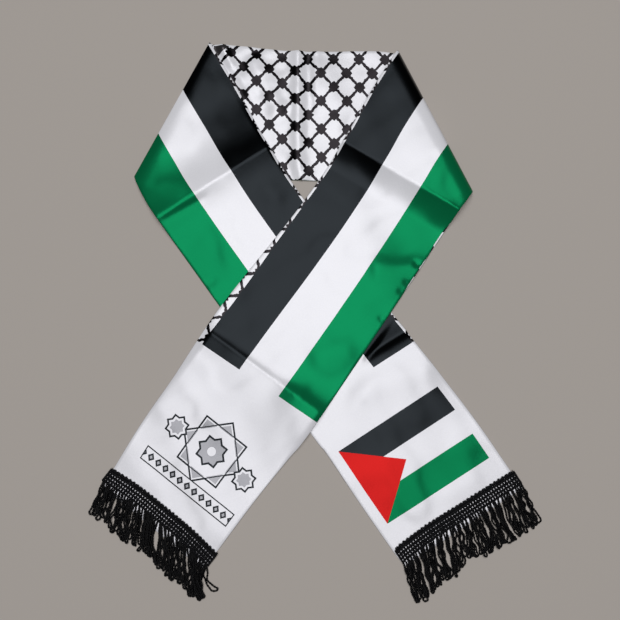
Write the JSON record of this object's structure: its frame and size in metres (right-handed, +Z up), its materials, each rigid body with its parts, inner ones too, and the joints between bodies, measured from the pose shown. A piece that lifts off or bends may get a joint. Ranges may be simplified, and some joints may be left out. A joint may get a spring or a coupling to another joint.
{
  "type": "keffiyeh print satin scarf",
  "caption": "Long flat satin scarf with striped and keffiyeh-printed faces and fringed ends, laid out like a neck loop with crossing tails.",
  "frame": {"origin": "on the resting surface, under the middle of the scarf's outline", "axes": "+Z up from the surface; +Y towards the neck stretch, away from the fringed ends; +X towards the fold of the tail that lies on top"},
  "size_m": [0.45, 0.573, 0.0075],
  "materials": {
    "printed_satin": "glossy polyester satin, white ground, dye-printed with black, white and green stripes on one face, a black keffiyeh net on the other, and a flag and a star ornament at the ends",
    "heading_braid": "matt black knitted braid with rows of white running stitches",
    "fringe_yarn": "black looped twisted yarn with a soft sheen"
  },
  "bodies": {
    "root": {"neck_stretch": "printed_satin", "under_tail": "printed_satin", "over_tail": "printed_satin", "under_tail_heading": "heading_braid", "over_tail_heading": "heading_braid", "under_tail_fringe": "fringe_yarn", "over_tail_fringe": "fringe_yarn"}
  },
  "joints": []
}
